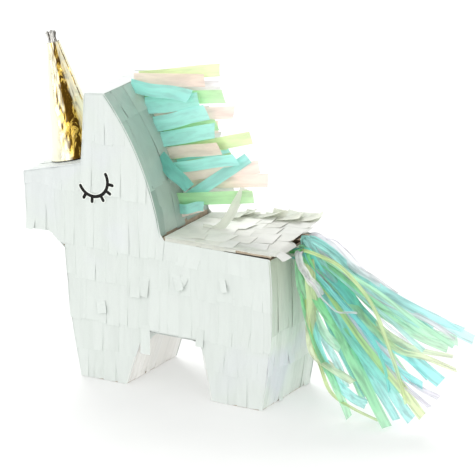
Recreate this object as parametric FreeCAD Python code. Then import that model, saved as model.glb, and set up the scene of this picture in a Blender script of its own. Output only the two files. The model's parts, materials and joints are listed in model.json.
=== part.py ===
import FreeCAD, Part
import math
import os
from FreeCAD import Vector

# Small table pinata in the shape of a standing animal with one horn on its muzzle.
# The body is a flat card box: two side panels with card strips glued between them,
# covered in fringed tissue paper, with a lid on its back, a paper mane and a ribbon tail.
# Millimetres. +Z is up, the nose points to -X, the animal's left flank faces -Y.
# The origin is on the ground, midway between the feet.

# ---- driving dimensions ----
body_width = 45.6          # over the fringed paper on both flanks
card = 1.4                 # thickness of the card
paper = 1.0                # one row of fringed tissue with its glue and air
tape = 0.2                 # gummed paper tape
seam_flap = 5.0            # width of each half of a folded seam tape
gap = 0.3                  # running clearance between pieces that move apart

panel_out = body_width / 2 - paper      # outer face of a side panel
panel_in = panel_out - card             # inner face of a side panel

# ---- side outline of the card shell ----
back_height = 72.8         # top edge of the open back
belly_height = 28.3
arch_radius = 5.0          # rounding where the legs meet the belly
foot_out = 47.9            # outer edge of each foot, fore and aft
foot_in_front = 24.4       # inner edge of the front foot
foot_in_rear = 22.4        # inner edge of the rear foot
leg_top_front = 15.0       # where the front leg's inner edge reaches the belly line
leg_top_rear = 16.6        # where the rear leg's inner edge reaches the belly line

rump_middle = (52.9, 41.0)
back_rear = (51.8, back_height)
neck_foot = (-5.5, back_height)
neck_middle = (-17.3, 110.6)
crown_rear = (-35.5, 138.5)
crown_front = (-45.0, 137.4)
brow = (-46.9, 103.5)
nose_top = (-78.8, 95.1)
nose_bottom = (-76.9, 69.0)
jaw = (-64.2, 69.2)
throat = (-56.6, 61.8)
chest = (-53.9, 31.0)
rump_start = foot_out - 2 * card        # the rear sole strip ends and the rump strip begins

# ---- lid ----
lid_hinge = (-4.4, 73.9)   # crease of the lid, in x and z
lid_rear = 52.6
lid_half_width = panel_out - 0.2
lid_near_angle = 1.0       # the -Y edge lies almost shut
lid_far_angle = 6.5        # the +Y edge has warped open
lid_paper_start = 6.0      # bare card beside the crease, so the lid can swing up
lid_paper_rows = 5
lid_tape_width = 12.0

# ---- horn ----
horn_height = 54.0
horn_base_radius = 12.0
horn_end_radius = 2.2
horn_wall = 0.8
foil = 0.4
horn_tip_length = 5.0
horn_seat = 0.52           # place along the muzzle, from the nose towards the brow

# ---- eyes ----
eye_centre = (-40.9, 96.9)
eye_radius = 7.7
eye_line = 1.5
eye_arc = (207.0, 390.0)
lash_angles = (240.0, 266.0, 301.0, 330.0, 355.0)
lash_reach = 3.2
sticker = 0.3

# ---- mane ----
mane_paper = 0.6
mane_pitch = 1.2
mane_root = 4.0            # glued edge of each comb, beyond the neck paper
mane_strip_width = 5.0
mane_lean = 12.0           # the strips rise this much towards their tips, in degrees

# Each comb: layer from the -Y side, strip lengths from the bottom up, and the shares of the
# neck's arc where its root starts and ends.
mane_combs = {
    "mane_turquoise_comb": (0, (28, 30, 33, 31, 29, 34, 30, 32), 0.14, 0.99),
    "mane_peach_comb": (1, (34, 38, 40, 36, 33, 30), 0.18, 0.82),
    "mane_green_comb": (2, (38, 39, 36, 33, 35, 37, 34), 0.13, 0.93),
    "mane_yellow_comb": (3, (30, 34, 37, 40, 38, 42, 44), 0.20, 1.00),
    "mane_white_comb": (4, (36, 33, 30, 34, 31), 0.16, 0.70),
}

# ---- tail ----
tail_pivot = (53.2, 71.0)          # where the gathered ribbons pass the rump, x and z
tail_binding_radius = 4.0
tail_binding_height = 3.2
tail_roll_radius = 1.6
tail_roll_length = 7.6
tail_notch_half = 5.0
tail_notch_bottom = 68.6
tail_root_start = 1.4      # clear space between the roll and the ribbons that fan out from it
tail_lead = 2.0            # straight start of each ribbon
ribbon_width = 3.6
ribbon = 0.35              # thickness
root_tape_half_width = 8.0
root_tape_height = 11.0

# Each ribbon: layer above the pivot, side of the middle, bend radius, bend in degrees,
# straight run after the bend, and swing to the side in degrees.
tail_ribbons = {
    "tail_turquoise_ribbons": [(2, 1, 110, 38, 8, -4), (2, -1, 80, 50, 14, -12), (-1, 1, 30, 82, 30, 3)],
    "tail_green_ribbons": [(1, 1, 62, 66, 14, 3), (1, -1, 50, 78, 10, -9), (-2, -1, 14, 84, 42, -14)],
    "tail_yellow_ribbons": [(0, 1, 42, 80, 20, 7), (-2, 1, 20, 86, 36, 6)],
    "tail_white_ribbons": [(0, -1, 36, 84, 24, -5), (-1, -1, 24, 86, 32, -10)],
}

# ---- levels where the rows of fringe on the flanks meet ----
flank_levels = (0.0, 28.0, 48.0, 63.0, 90.0, 115.0, 142.0)
flank_names = ("leg_fringe", "belly_fringe", "flank_fringe", "throat_fringe", "cheek_fringe", "crown_fringe")

far = 200.0                # larger than the object, for cutting blocks
leg_rows = 22.0            # the inner leg papers end here, below the arch
neck_joints = (98.0, 128.0)    # heights where the patches on the back of the neck meet

# Paper on the strips between the flanks: the x and z window of each piece.
edge_papers = {
    "neck_paper_lower": (-40, far, lid_hinge[1] + lid_paper_start, neck_joints[0]),
    "neck_paper_middle": (-40, far, neck_joints[0], neck_joints[1]),
    "neck_paper_upper": (crown_rear[0], far, neck_joints[1], far),
    "crown_paper": (-60, crown_rear[0], crown_front[1], far),
    "forehead_paper": (-60, -40, brow[1] + 1, crown_front[1]),
    "muzzle_paper": (-far, brow[0] - paper, nose_top[1], far),
    "nose_fringe": (-far, -75, 60, nose_top[1]),
    "jaw_paper": (-75, -50, throat[1], 75),
    "chest_fringe_upper": (-far, -40, 31, throat[1]),
    "chest_fringe_lower": (-far, -40, 0, 31),
    "front_leg_inner_paper": (-40, 0, 0, leg_rows),
    "belly_paper": (-40, 40, leg_rows, 40),
    "rear_leg_inner_paper": (0, 40, 0, leg_rows),
    "rump_fringe_upper": (40, far, 37, back_height),
    "rump_fringe_lower": (40, far, 0, 37),
}


def at(point, y=0.0):
    return Vector(point[0], y, point[1])


def line(start, end):
    return Part.makeLine(at(start), at(end))


def arc(start, middle, end):
    return Part.Arc(at(start), at(middle), at(end)).toShape()


def block(x0, x1, y0, y1, z0, z1):
    return Part.makeBox(x1 - x0, y1 - y0, z1 - z0, Vector(x0, y0, z0))


def prism(face, y0, y1):
    moved = face.copy()
    moved.translate(Vector(0, y0, 0))
    return moved.extrude(Vector(0, y1 - y0, 0))


def arch_corner(foot, top, belly_end):
    """Leg edge and rounded corner under the belly: the line's end and the arc's points."""
    leg = Vector(top[0] - foot[0], 0, top[1] - foot[1]).normalize()
    belly = Vector(belly_end[0] - top[0], 0, belly_end[1] - top[1]).normalize()
    half = leg.getAngle(belly) / 2
    reach = arch_radius * math.tan(half)
    first = at(top) - leg * reach
    last = at(top) + belly * reach
    inward = (belly - leg).normalize()
    middle = at(top) + inward * (arch_radius / math.cos(half) - arch_radius)
    return first, middle, last


def outline(grow=0.0):
    """Face of the side outline in the plane y = 0, grown or shrunk by an even margin."""
    front_top = (-leg_top_front, belly_height)
    rear_top = (leg_top_rear, belly_height)
    front = arch_corner((-foot_in_front, 0), front_top, rear_top)
    rear = arch_corner((foot_in_rear, 0), rear_top, front_top)
    edges = [
        line((-foot_in_front, 0), (-foot_out, 0)),
        line((-foot_out, 0), chest),
        line(chest, throat),
        line(throat, jaw),
        line(jaw, nose_bottom),
        line(nose_bottom, nose_top),
        line(nose_top, brow),
        line(brow, crown_front),
        line(crown_front, crown_rear),
        arc(crown_rear, neck_middle, neck_foot),
        line(neck_foot, back_rear),
        arc(back_rear, rump_middle, (foot_out, 0)),
        line((foot_out, 0), (foot_in_rear, 0)),
        Part.makeLine(at((foot_in_rear, 0)), rear[0]),
        Part.Arc(*rear).toShape(),
        Part.makeLine(rear[2], front[2]),
        Part.Arc(front[2], front[1], front[0]).toShape(),
        Part.makeLine(front[0], at((-foot_in_front, 0))),
    ]
    face = Part.Face(Part.Wire(edges))
    if grow:
        face = face.makeOffset2D(grow)
    return face


def ring(inner, outer, half_width):
    """Hollow wall between two margins of the outline, across the whole width."""
    solid = prism(outline(outer), -half_width, half_width)
    return solid.cut(prism(outline(inner), -half_width - 1, half_width + 1))


def piece(shape, x0, x1, z0, z1):
    return shape.common(block(x0, x1, -far, far, z0, z1))


def one(shape):
    """The shape as one solid, or as a compound of its separate solids."""
    clean = shape.removeSplitter()
    if len(clean.Solids) == 1:
        return clean.Solids[0]
    return Part.makeCompound(clean.Solids)


def tail_notch():
    return block(30, far, -tail_notch_half, tail_notch_half, tail_notch_bottom, far)


# ---- card shell ----

def side_panel(side):
    return prism(outline(), *sorted((side * panel_in, side * panel_out)))


def head_band(wall):
    return piece(wall, -far, lid_hinge[0], throat[1], far)


def chest_band(wall):
    return piece(wall, -far, rump_start, -1, throat[1])


def rump_band(wall):
    lower = piece(wall, rump_start, far, -1, throat[1])
    upper = piece(wall, back_rear[0] - card - 0.1, far, throat[1], back_height)
    return lower.fuse(upper).cut(tail_notch())


def seam_tape(side):
    """Gummed paper folded into the corner between a side panel and the card strips."""
    flap = seam_flap
    face = outline(-card)
    on_strips = face.cut(outline(-card - tape))
    on_panel = face.cut(outline(-card - flap))
    inner = side * (panel_in - flap)
    solid = prism(on_strips, *sorted((inner, side * panel_in)))
    solid = solid.fuse(prism(on_panel, *sorted((side * (panel_in - tape), side * panel_in))))
    opening = block(lid_hinge[0] - flap, back_rear[0] - card - flap, -far, far, throat[1], far)
    return solid.cut(opening)


# ---- lid ----

def lid_height(x, y):
    """Middle of the warped lid card above a point of the back."""
    share = (y + lid_half_width) / (2 * lid_half_width)
    near = math.tan(math.radians(lid_near_angle))
    far_side = math.tan(math.radians(lid_far_angle))
    return lid_hinge[1] + (x - lid_hinge[0]) * (near + (far_side - near) * share)


def lid_section(x, low, high):
    corners = []
    for y, lift in ((-1, low), (1, low), (1, high), (-1, high)):
        y = y * lid_half_width
        corners.append(Vector(x, y, lid_height(x, y) + lift))
    return Part.makePolygon(corners + corners[:1])


def lid_layer(x0, x1, low, high):
    return Part.makeLoft([lid_section(x0, low, high), lid_section(x1, low, high)], True, True)


def back_lid():
    crease = Part.makeCylinder(card / 2, 2 * lid_half_width, at(lid_hinge, -lid_half_width), Vector(0, 1, 0))
    return crease.fuse(lid_layer(lid_hinge[0], lid_rear, -card / 2, card / 2))


def lid_hinge_tape():
    return lid_layer(lid_hinge[0] + card, lid_hinge[0] + lid_tape_width, -card / 2 - tape, -card / 2)


def lid_fringe(row):
    start = lid_hinge[0] + lid_paper_start
    step = (lid_rear - start) / lid_paper_rows
    return lid_layer(start + row * step, start + (row + 1) * step, card / 2, card / 2 + paper)


# ---- horn ----

def horn_axis():
    """Foot of the horn on the muzzle paper and its direction, square to the muzzle."""
    along = (at(brow) - at(nose_top)).normalize()
    up = Vector(-along.z, 0, along.x)
    foot = at(nose_top) + (at(brow) - at(nose_top)) * horn_seat + up * paper
    return foot, up


def cone(base, top, start, end):
    """Cone about the horn's axis, between two distances from its foot."""
    foot, up = horn_axis()
    return Part.makeCone(base, top, end - start, foot + up * start, up)


def horn_core():
    return cone(horn_base_radius, horn_end_radius, 0, horn_height).cut(
        cone(horn_base_radius - horn_wall, horn_end_radius - horn_wall, 0, horn_height))


def horn_foil():
    outer = cone(horn_base_radius + foil, horn_end_radius + foil, 0, horn_height)
    return outer.cut(cone(horn_base_radius, horn_end_radius, 0, horn_height))


def horn_tip():
    return cone(horn_end_radius + foil, 1.2, horn_height, horn_height + horn_tip_length)


# ---- eyes ----

def eye_sticker(side):
    """Die-cut half ring with five lashes, lying on the cheek."""
    y = side * (body_width / 2) + (0.05 if side > 0 else -0.05 - sticker)
    low, high = eye_arc
    start = at(eye_centre, y)
    turn = Vector(0, -1, 0)
    solid = None
    for radius in (eye_radius + eye_line / 2, eye_radius - eye_line / 2):
        disc = Part.makeCylinder(radius, sticker, Vector(0, 0, 0), Vector(0, 0, 1), high - low)
        solid = disc if solid is None else solid.cut(disc)
    solid.rotate(Vector(0, 0, 0), Vector(0, 0, 1), low)
    for angle in lash_angles:
        lash = Part.makeBox(lash_reach, eye_line, sticker, Vector(eye_radius, -eye_line / 2, 0))
        lash.rotate(Vector(0, 0, 0), Vector(0, 0, 1), angle)
        solid = solid.fuse(lash)
    solid.rotate(Vector(0, 0, 0), Vector(1, 0, 0), 90)
    solid.translate(start - turn * sticker)
    return solid


# ---- mane ----

def mane_comb(layer, lengths, first, last):
    """One paper comb: a glued root along the neck and strips that stick out to the rear."""
    neck = Part.Circle(at(crown_rear), at(neck_middle), at(neck_foot))
    y0 = (layer - 2) * mane_pitch - mane_paper / 2
    y1 = y0 + mane_paper
    centre = neck.Center
    inner = neck.Radius + paper + 0.1
    top_angle = math.atan2(crown_rear[1] - centre.z, crown_rear[0] - centre.x)
    foot_angle = math.atan2(neck_foot[1] - centre.z, neck_foot[0] - centre.x)

    def on_neck(share, radius):
        angle = foot_angle + (top_angle - foot_angle) * share
        return (centre.x + radius * math.cos(angle), centre.z + radius * math.sin(angle))

    middle = (first + last) / 2
    outer = inner + mane_root
    root = Part.Face(Part.Wire([
        arc(on_neck(first, inner), on_neck(middle, inner), on_neck(last, inner)),
        line(on_neck(last, inner), on_neck(last, outer)),
        arc(on_neck(last, outer), on_neck(middle, outer), on_neck(first, outer)),
        line(on_neck(first, outer), on_neck(first, inner)),
    ]))
    solid = prism(root, y0, y1)
    for index, length in enumerate(lengths):
        share = first + (last - first) * (index + 0.5) / len(lengths)
        foot = on_neck(share, inner + mane_root / 2)
        strip = block(0, length, y0, y1, -mane_strip_width / 2, mane_strip_width / 2)
        strip.rotate(Vector(0, 0, 0), Vector(0, -1, 0), mane_lean)
        strip.translate(at(foot))
        solid = solid.fuse(strip)
    return solid


# ---- tail ----

def tail_roll_centre():
    return tail_pivot[0] + tail_binding_radius + gap + tail_roll_radius


def ribbon_strip(row, column, radius, bend, straight, swing):
    """Flat ribbon that leaves the tail's root, bends down through an arc and runs on straight."""
    lead = tail_lead
    height = row * 2 * ribbon
    turn = math.radians(bend)
    thick = ribbon

    def on_path(stage, lift):
        rise = radius + lift
        if stage <= 1:
            angle = turn * stage
            return (lead + rise * math.sin(angle), rise * math.cos(angle) - radius)
        run = straight
        end = (lead + rise * math.sin(turn), rise * math.cos(turn) - radius)
        return (end[0] + run * math.cos(turn), end[1] - run * math.sin(turn))

    edges = [
        line((0, 0), on_path(0, 0)),
        arc(on_path(0, 0), on_path(0.5, 0), on_path(1, 0)),
        line(on_path(1, 0), on_path(2, 0)),
        line(on_path(2, 0), on_path(2, thick)),
        line(on_path(2, thick), on_path(1, thick)),
        arc(on_path(1, thick), on_path(0.5, thick), on_path(0, thick)),
        line(on_path(0, thick), (0, thick)),
        line((0, thick), (0, 0)),
    ]
    y0 = ribbon / 2 if column > 0 else -ribbon_width - ribbon / 2
    strip = prism(Part.Face(Part.Wire(edges)), y0, y0 + ribbon_width)
    strip.rotate(Vector(0, 0, 0), Vector(0, 0, 1), swing)
    strip.translate(Vector(tail_roll_centre() + tail_roll_radius + tail_root_start, 0, tail_pivot[1] + height))
    return strip


def tail_binding():
    return Part.makeCylinder(tail_binding_radius, tail_binding_height,
                             at((tail_pivot[0], tail_pivot[1] - tail_binding_height / 2)))


def tail_roll():
    return Part.makeCylinder(tail_roll_radius, tail_roll_length,
                             Vector(tail_roll_centre(), -tail_roll_length / 2, tail_pivot[1]), Vector(0, 1, 0))


def tail_root_tape():
    inner_face = back_rear[0] - card - gap
    top = tail_notch_bottom - card
    return block(inner_face - tape, inner_face, -root_tape_half_width, root_tape_half_width,
                 top - root_tape_height, top)


def flank_fringe(side, low, high):
    solid = prism(outline(paper), *sorted((side * panel_out, side * body_width / 2)))
    solid = piece(solid, -far, far, low, high)
    return solid.cut(block(lid_hinge[0] - 1, far, -far, far, back_height, far))


def build():
    nodes = {}
    wall = ring(-card, 0, panel_in)
    for name, side in (("left", -1), ("right", 1)):
        nodes[name + "_side_panel"] = side_panel(side)
        nodes[name + "_seam_tape"] = seam_tape(side)
        nodes[name + "_eye_sticker"] = eye_sticker(side)
        for row, fringe in enumerate(flank_names):
            nodes[name + "_" + fringe] = flank_fringe(side, flank_levels[row], flank_levels[row + 1])
    nodes["head_band"] = head_band(wall)
    nodes["chest_band"] = chest_band(wall)
    nodes["rump_band"] = rump_band(wall)
    cover = ring(0, paper, panel_out)
    for name, (x0, x1, z0, z1) in edge_papers.items():
        nodes[name] = piece(cover, x0, x1, z0, z1)
    nodes["rump_fringe_upper"] = nodes["rump_fringe_upper"].cut(tail_notch())
    nodes["back_lid"] = back_lid()
    nodes["lid_hinge_tape"] = lid_hinge_tape()
    for row in range(lid_paper_rows):
        nodes["lid_fringe_%d" % (row + 1)] = lid_fringe(row)
    nodes["horn_core"] = horn_core()
    nodes["horn_foil"] = horn_foil()
    nodes["horn_tip"] = horn_tip()
    for name, comb in mane_combs.items():
        nodes[name] = mane_comb(*comb)
    nodes["tail_binding"] = tail_binding()
    nodes["tail_roll"] = tail_roll()
    nodes["tail_root_tape"] = tail_root_tape()
    for name, ribbons in tail_ribbons.items():
        nodes[name] = Part.makeCompound([ribbon_strip(*values) for values in ribbons])
    return nodes


os.makedirs("parts", exist_ok=True)
for node, shape in build().items():
    one(shape).exportStep("parts/" + node + ".step")
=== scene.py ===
import json
import math
import random
from bisect import bisect_right
from collections import Counter, defaultdict

import bpy
from mathutils import Matrix, Vector, noise
from mathutils.bvhtree import BVHTree
from mathutils.kdtree import KDTree


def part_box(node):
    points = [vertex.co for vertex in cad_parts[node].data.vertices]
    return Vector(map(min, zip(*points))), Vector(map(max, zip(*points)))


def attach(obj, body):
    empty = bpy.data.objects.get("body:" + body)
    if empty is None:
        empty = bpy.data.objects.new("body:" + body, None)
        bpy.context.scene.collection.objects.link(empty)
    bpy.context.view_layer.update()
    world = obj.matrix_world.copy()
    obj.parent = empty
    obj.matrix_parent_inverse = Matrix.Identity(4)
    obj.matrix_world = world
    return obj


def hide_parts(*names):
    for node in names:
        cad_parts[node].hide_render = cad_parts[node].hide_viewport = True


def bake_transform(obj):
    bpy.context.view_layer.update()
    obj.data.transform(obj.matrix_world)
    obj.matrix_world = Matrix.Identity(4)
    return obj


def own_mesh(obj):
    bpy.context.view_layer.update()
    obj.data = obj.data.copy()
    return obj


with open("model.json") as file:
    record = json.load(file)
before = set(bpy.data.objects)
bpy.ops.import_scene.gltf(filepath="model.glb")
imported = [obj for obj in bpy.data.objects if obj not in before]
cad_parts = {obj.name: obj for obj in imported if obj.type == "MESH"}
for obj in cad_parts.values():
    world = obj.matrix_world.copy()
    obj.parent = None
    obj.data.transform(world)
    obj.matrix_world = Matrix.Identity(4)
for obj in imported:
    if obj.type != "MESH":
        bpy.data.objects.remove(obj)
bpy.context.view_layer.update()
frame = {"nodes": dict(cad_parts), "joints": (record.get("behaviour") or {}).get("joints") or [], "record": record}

MM = 0.001

# ---- places taken from the frame
panel_low, panel_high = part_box("left_side_panel")
lid_low, lid_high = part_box("back_lid")
CARD_Y = -panel_low.y                                     # outer face of the card on each flank
PAPER = -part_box("left_belly_fringe")[0].y - CARD_Y        # thickness the frame leaves for the tissue
HINGE, SWAY, LIFT = (next(Vector(j["pos_m"]) for j in frame["joints"] if j["name"] == name)
                     for name in ("lid_hinge", "tail_sway", "tail_lift"))

# The stretch of the lid's -Y edge, in mm along x, where the tissue is torn back from the card.
LID_BARE = (36.0, 54.0)
# How far, in mm, the free ends of the lid's tissue stand up at its +Y edge.
LID_FAR_LIFT = 3.2
# The strip that stands up on the lid: its foot (x, y) and length in mm, and its lean to the tail.
LID_CURL_FOOT = (13.0, -2.0)
LID_CURL_LENGTH = 27.0
LID_CURL_LEAN = math.radians(35)


def dice(name):
    """A random source of its own for each piece, the same on every run."""
    return random.Random("pinata " + name)


def smooth(low, high, value):
    """0 below low, 1 above high, and an S-curve between them."""
    share = max(0.0, min(1.0, (value - low) / (high - low)))
    return share * share * (3 - 2 * share)


def even_steps(low, high, count):
    """Evenly spaced values from low to high, both of them included."""
    return [low + (high - low) * i / count for i in range(count + 1)]


# ---- the card's side outline
def side_outline():
    """The edge of the left panel's outer face as a closed run of (x, z) corners."""
    mesh = frame["nodes"]["left_side_panel"].data
    count = Counter()
    for face in mesh.polygons:
        spots = [mesh.vertices[i].co for i in face.vertices]
        if max(p.y for p in spots) <= panel_low.y + 1e-6:
            flat = [(round(p.x, 6), round(p.z, 6)) for p in spots]
            count.update(frozenset(pair) for pair in zip(flat, flat[1:] + flat[:1]))
    linked = defaultdict(list)
    for start, end in (key for key, found in count.items() if found == 1 and len(key) == 2):
        linked[start].append(end)
        linked[end].append(start)
    first = min(linked)
    loop = [first, max(linked[first], key=lambda p: p[1])]
    while loop[-1] != first:
        loop.append(next(p for p in linked[loop[-1]] if p != loop[-2]))
    return loop[:-1]


def even_points(loop, step):
    """The closed outline again, with points no further apart than step."""
    points = []
    for start, end in zip(loop, loop[1:] + loop[:1]):
        parts = max(1, math.ceil(math.dist(start, end) / step))
        points += [tuple(start[k] + (end[k] - start[k]) * i / parts for k in (0, 1)) for i in range(parts)]
    return points


OUTLINE = side_outline()
EVEN = even_points(OUTLINE, 0.5 * MM)
EDGE_TREE = KDTree(len(EVEN))
for number, (x, z) in enumerate(EVEN):
    EDGE_TREE.insert((x, 0, z), number)
EDGE_TREE.balance()


def kept_on(x, z, spare):
    """A place on the flank, pulled back to the outline if it lies further outside than spare."""
    inside = sum(value < z for value in crossings(0, x)) % 2 == 1
    near, _, reach = EDGE_TREE.find((x, 0, z))
    if inside or reach <= spare:
        return x, z
    share = spare / reach
    return near.x + (x - near.x) * share, near.z + (z - near.z) * share


def crossings(axis, value):
    """Where the outline crosses x = value (axis 0) or z = value (axis 1), sorted."""
    found = []
    for start, end in zip(OUTLINE, OUTLINE[1:] + OUTLINE[:1]):
        if (start[axis] - value) * (end[axis] - value) < 0:
            share = (value - start[axis]) / (end[axis] - start[axis])
            found.append(start[1 - axis] + share * (end[1 - axis] - start[1 - axis]))
    return sorted(found)


def span_near(axis, value, other):
    """The stretch of card, across the other axis, that holds or is nearest to a place."""
    found = crossings(axis, value)
    pairs = list(zip(found[::2], found[1::2]))
    if not pairs:
        return None
    return min(pairs, key=lambda p: max(p[0] - other, other - p[1], 0))


class Path:
    """The run of the outline that a paper strip between the flanks covers, downward, with its length."""

    def __init__(self, node):
        low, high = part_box(node)
        slack, total = 0.06 * MM, len(EVEN)
        inside = [low.x - slack <= x <= high.x + slack and low.z - slack <= z <= high.z + slack
                  for x, z in EVEN]
        best = (0, 0)
        for start in (i for i in range(total) if inside[i] and not inside[i - 1]):
            length = 0
            while inside[(start + length) % total] and length < total:
                length += 1
            best = max(best, (length, start))
        points = [EVEN[(best[1] + i) % total] for i in range(best[0])]
        if points[0][1] < points[-1][1]:
            points = points[::-1]
        self.points = [Vector((x, 0, z)) for x, z in points]
        self.lengths = [0.0]
        for start, end in zip(self.points, self.points[1:]):
            self.lengths.append(self.lengths[-1] + (end - start).length)
        self.total = self.lengths[-1]
        middle = len(self.points) // 2
        along = self.tangent(self.lengths[middle])
        probe = self.points[middle] + Vector((along.z, 0, -along.x)) * 0.3 * MM
        span = span_near(0, probe.x, probe.z)
        self.turn = -1 if span is not None and span[0] < probe.z < span[1] else 1

    def index(self, s):
        return max(0, min(len(self.lengths) - 2, bisect_right(self.lengths, s) - 1))

    def tangent(self, s):
        """The run's direction, taken over a few points so that corners come out rounded."""
        i = self.index(s)
        return (self.points[min(len(self.points) - 1, i + 3)] - self.points[max(0, i - 2)]).normalized()

    def at(self, s, out):
        """The place at a length along the run, or straight on past its ends, moved out from the card."""
        held = max(0.0, min(self.total, s))
        i = self.index(held)
        share = min(1.0, (held - self.lengths[i]) / (self.lengths[i + 1] - self.lengths[i]))
        along = self.tangent(held)
        point = self.points[i] + (self.points[i + 1] - self.points[i]) * share + along * (s - held)
        return point + Vector((along.z, 0, -along.x)) * self.turn * out


# ---- mesh of thin paper
class Sheet:
    """Thin strips gathered into one mesh, each with a shade of its own and its root-to-tip share."""

    def __init__(self):
        self.points = []
        self.faces = []
        self.shares = {"shade": [], "along": [], "across": []}

    def grid(self, rows, shade):
        """Adds one strip from rows of places."""
        start, width, last = len(self.points), len(rows[0]), len(rows) - 1
        for r, row in enumerate(rows):
            self.points.extend(row)
            self.shares["shade"] += [shade] * width
            self.shares["along"] += [r / last] * width
            self.shares["across"] += [c / (width - 1) for c in range(width)]
        for i in (start + r * width + c for r in range(last) for c in range(width - 1)):
            self.faces.append((i, i + 1, i + width + 1, i + width))

    def strip(self, pieces, sides, place, shade):
        """Adds one strip; place(k, side) gives its skin at each step k and each share across."""
        self.grid([[place(k, side) for side in sides] for k in range(pieces + 1)], shade)

    def make(self, name, material, thickness):
        piece = new_piece(name, self.points, self.faces, material)
        for label, values in self.shares.items():
            piece.data.attributes.new(label, "FLOAT", "POINT").data.foreach_set("value", values)
        return thickened(piece, thickness, 0)


def new_object(name, data):
    thing = bpy.data.objects.new(name, data)
    bpy.context.scene.collection.objects.link(thing)
    return thing


def new_piece(name, points, faces, material, soft=True):
    mesh = bpy.data.meshes.new(name)
    mesh.from_pydata(points, [], faces)
    mesh.validate()
    mesh.materials.append(material)
    for face in mesh.polygons:
        face.use_smooth = soft
    return new_object(name, mesh)


SHARP = math.radians(40)                  # edges that turn by more than this are not shaded smooth


def thickened(piece, thickness, offset):
    """Gives a skin its thickness; its mesh is then final."""
    solid = piece.modifiers.new("paper", "SOLIDIFY")
    solid.thickness = thickness
    solid.offset = offset
    bpy.context.view_layer.update()
    shape = piece.evaluated_get(bpy.context.evaluated_depsgraph_get())
    mesh = bpy.data.meshes.new_from_object(shape)
    piece.modifiers.clear()
    piece.data = mesh
    mesh.set_sharp_from_angle(angle=SHARP)
    return piece


def put(piece, body, slot, *nodes):
    """Lets a piece ride a body and hides the frame nodes it stands for; the slot is not used."""
    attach(piece, body)
    if nodes:
        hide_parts(*nodes)
    return piece


# ---- materials
def start_material(name):
    material = bpy.data.materials.new(name)
    material.use_nodes = True
    material.node_tree.nodes.clear()
    return material, material.node_tree


def add(tree, kind, **values):
    """A new node; each value sets a property of it or the default of one of its inputs."""
    node = tree.nodes.new(kind)
    for key, value in values.items():
        if hasattr(node, key):
            setattr(node, key, value)
        else:
            node.inputs[key.replace("_", " ")].default_value = value
    return node


def object_place(tree, scale=(1.0, 1.0, 1.0)):
    """Object coordinates stretched by a scale, so that a pattern can run one way."""
    place = add(tree, "ShaderNodeTexCoord")
    mapping = add(tree, "ShaderNodeMapping", Scale=scale)
    tree.links.new(place.outputs["Object"], mapping.inputs["Vector"])
    return mapping.outputs["Vector"]


def pattern(tree, vector, scale, detail=3.0, rough=0.55, warp=0.0):
    texture = add(tree, "ShaderNodeTexNoise", Scale=scale, Detail=detail, Roughness=rough, Distortion=warp)
    tree.links.new(vector, texture.inputs["Vector"])
    return texture.outputs["Fac"]


def ramp(tree, value, stops):
    node = add(tree, "ShaderNodeValToRGB")
    elements = node.color_ramp.elements
    while len(elements) < len(stops):
        elements.new(0.5)
    for element, (place, colour) in zip(elements, stops):
        element.position = place
        element.color = (*colour, 1.0)
    tree.links.new(value, node.inputs["Fac"])
    return node.outputs["Color"]


def mixed(tree, share, first, second, how="MIX"):
    node = add(tree, "ShaderNodeMix", data_type="RGBA", blend_type=how)
    for socket, value in ((node.inputs[0], share), (node.inputs[6], first), (node.inputs[7], second)):
        if isinstance(value, bpy.types.NodeSocket):
            tree.links.new(value, socket)
        elif isinstance(value, tuple):
            socket.default_value = (*value, 1.0)
        else:
            socket.default_value = value
    return node.outputs[2]


def times(tree, value, factor, plus=None):
    """A value multiplied by a factor, with another value added where one is given."""
    node = add(tree, "ShaderNodeMath", operation="MULTIPLY_ADD" if plus else "MULTIPLY")
    tree.links.new(value, node.inputs[0])
    node.inputs[1].default_value = factor
    if plus:
        tree.links.new(plus, node.inputs[2])
    return node.outputs[0]


def bump(tree, height, strength, distance):
    node = add(tree, "ShaderNodeBump", Strength=strength, Distance=distance)
    tree.links.new(height, node.inputs["Height"])
    return node.outputs["Normal"]


def principled(tree, colour, normal=None, **values):
    surface = add(tree, "ShaderNodeBsdfPrincipled", **values)
    tree.links.new(colour, surface.inputs["Base Color"])
    if normal:
        tree.links.new(normal, surface.inputs["Normal"])
    return surface.outputs[0]


def between(tree, share, first, second):
    """A mix of two surfaces; the share is a number or another node's output."""
    node = add(tree, "ShaderNodeMixShader")
    if isinstance(share, float):
        node.inputs[0].default_value = share
    else:
        tree.links.new(share, node.inputs[0])
    tree.links.new(first, node.inputs[1])
    tree.links.new(second, node.inputs[2])
    return node.outputs[0]


def finished(material, tree, surface):
    output = add(tree, "ShaderNodeOutputMaterial")
    tree.links.new(surface, output.inputs["Surface"])
    return material


WHOLE = (1.0, 1.0, 1.0)
NOTHING = (0.0, 0.0, 0.0)
# Lavender of the painted pearly sheen.
PEARL_SHEEN_TINT = (0.80, 0.79, 0.93)


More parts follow.
